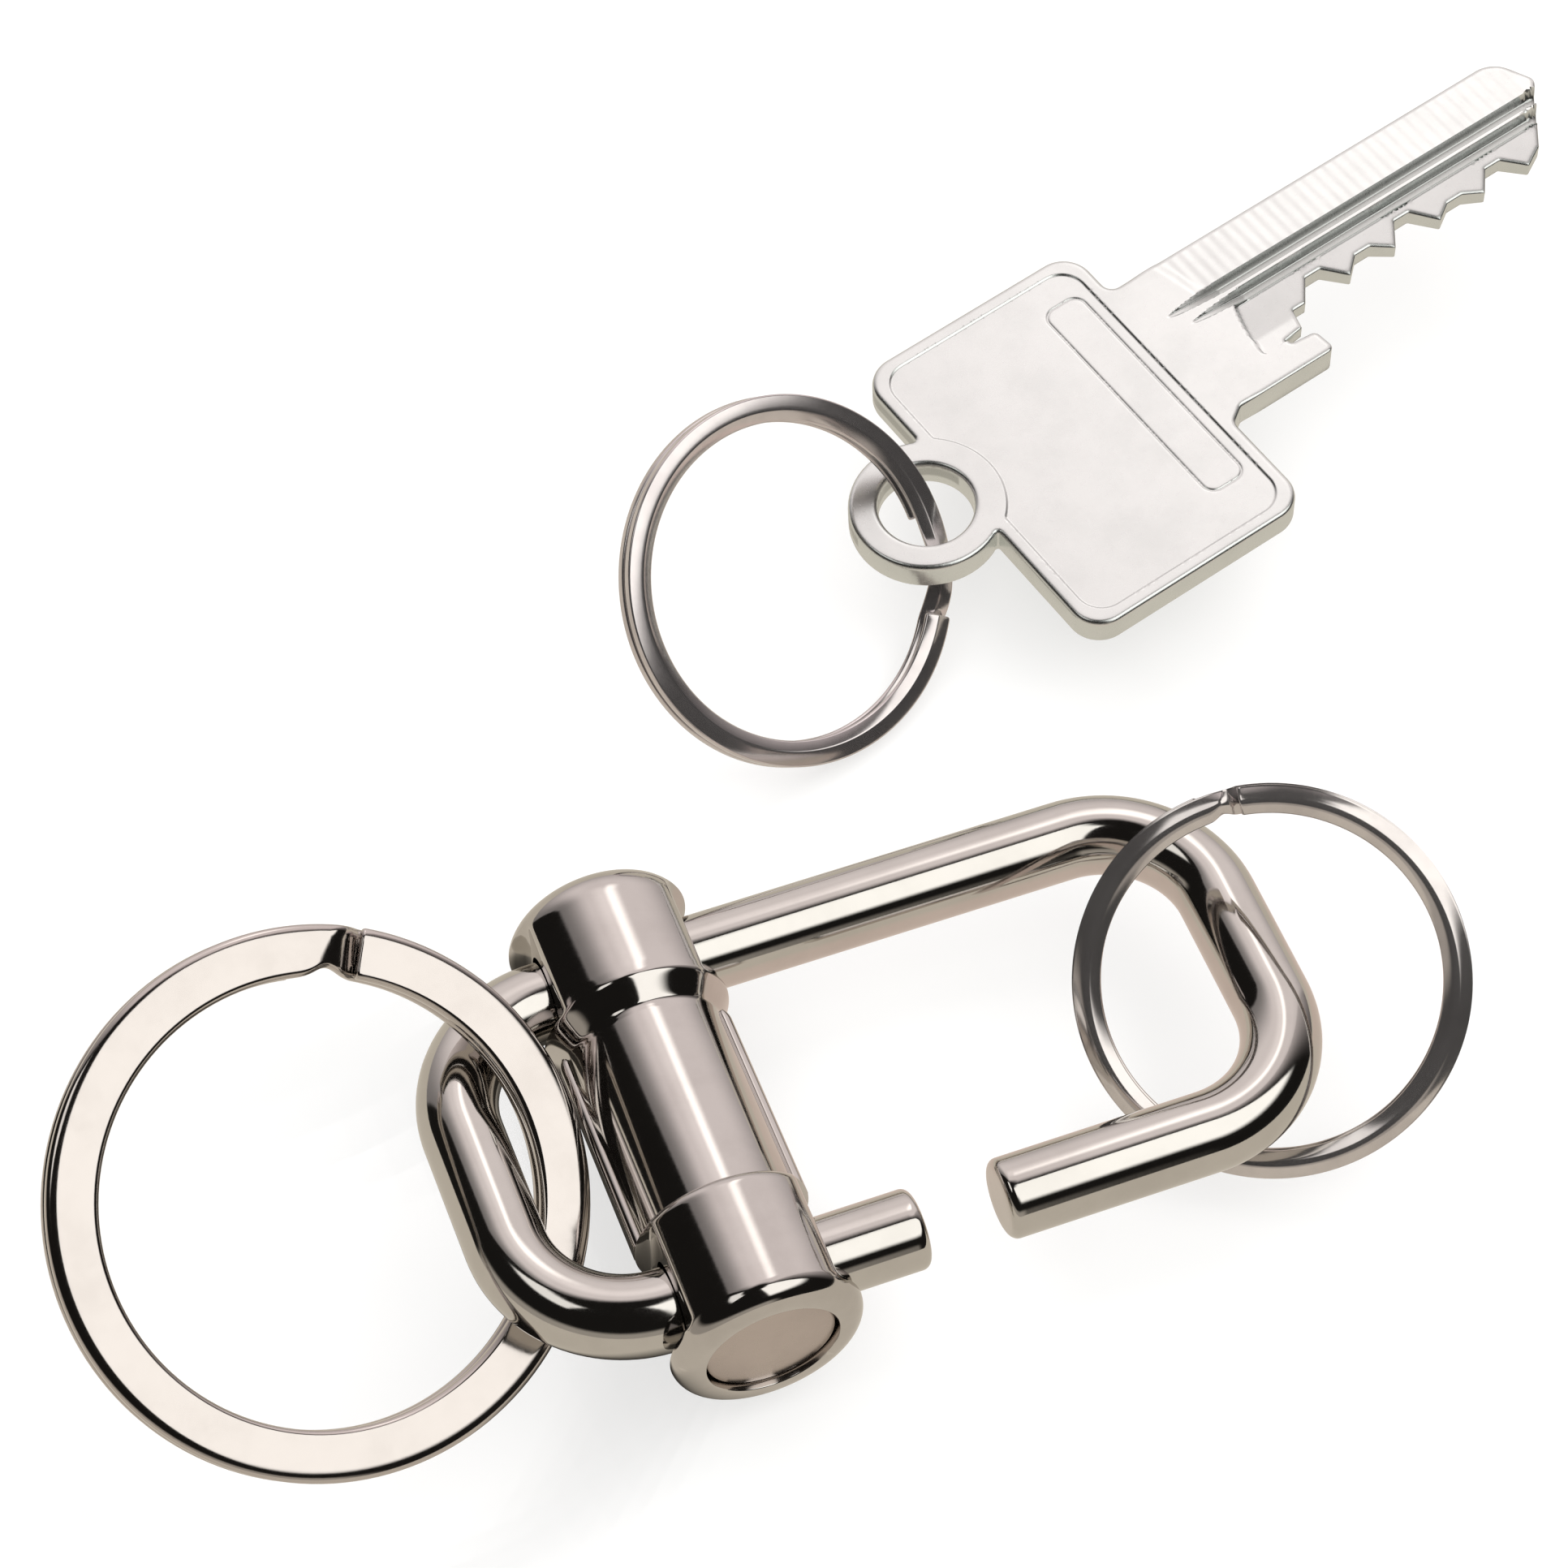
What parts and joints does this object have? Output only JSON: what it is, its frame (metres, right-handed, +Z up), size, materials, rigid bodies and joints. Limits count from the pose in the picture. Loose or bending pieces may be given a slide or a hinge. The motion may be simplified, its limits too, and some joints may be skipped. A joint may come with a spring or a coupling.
{
  "type": "shackle key holder",
  "caption": "Oblong wire shackle with a gap, closed by a sliding barrel with a push button, carrying flat and round split rings and a cylinder key.",
  "frame": {"origin": "on the resting plane, at the middle of the whole set's footprint", "axes": "+X along the shackle's two legs towards the end that carries the small ring, +Y along the barrel away from its button, +Z up from the resting plane"},
  "size_m": [0.1222, 0.0754, 0.0198],
  "materials": {
    "wire_nickel": "polished black nickel plate on steel wire",
    "barrel_black_nickel": "polished black nickel plate on a cast body",
    "plunger_steel": "turned steel",
    "cap_satin_nickel": "satin nickel",
    "spring_wire": "spring steel wire",
    "flat_ring_steel": "bright nickel plated flat strip",
    "ring_steel": "dark polished spring steel",
    "key_nickel": "nickel plated brass, tumbled bright"
  },
  "bodies": {
    "shackle": {"shackle_wire": "wire_nickel"},
    "barrel": {"barrel_body": "barrel_black_nickel", "return_spring": "spring_wire"},
    "button": {"lock_plunger": "plunger_steel", "button_cap": "cap_satin_nickel"},
    "big_ring": {"big_split_ring": "flat_ring_steel"},
    "small_ring": {"small_split_ring": "ring_steel"},
    "key_ring": {"key_split_ring": "ring_steel"},
    "key_body": {"key": "key_nickel"}
  },
  "joints": [
    {"name": "barrel_slide", "type": "slide", "parent": "shackle", "child": "barrel", "axis": [1, 0, 0], "range_m": [0, 0.01345]},
    {"name": "button_press", "type": "slide", "parent": "barrel", "child": "button", "axis": [0, 1, 0], "range_m": [0, 0.0009], "stiffness_N_per_m": 800, "springref_m": -0.001},
    {"name": "big_ring_flap", "type": "hinge", "parent": "shackle", "child": "big_ring", "pos_m": [-0.03066, -0.01856, 0.00778], "axis": [1, 0, 0], "range_deg": [0, 100]},
    {"name": "small_ring_swing", "type": "hinge", "parent": "shackle", "child": "small_ring", "pos_m": [0.01397, -0.02156, 0.00778], "axis": [0, 1, 0], "range_deg": [-145, 18]},
    {"name": "loose_set_lift", "type": "slide", "parent": "shackle", "child": "key_ring", "axis": [0, 0, 1], "range_m": [0, 0.04]},
    {"name": "key_swing", "type": "hinge", "parent": "key_ring", "child": "key_body", "pos_m": [0.00843, 0.01746, 0.00779], "axis": [-0.061, -0.065, 0.996], "range_deg": [-40, 140]}
  ]
}
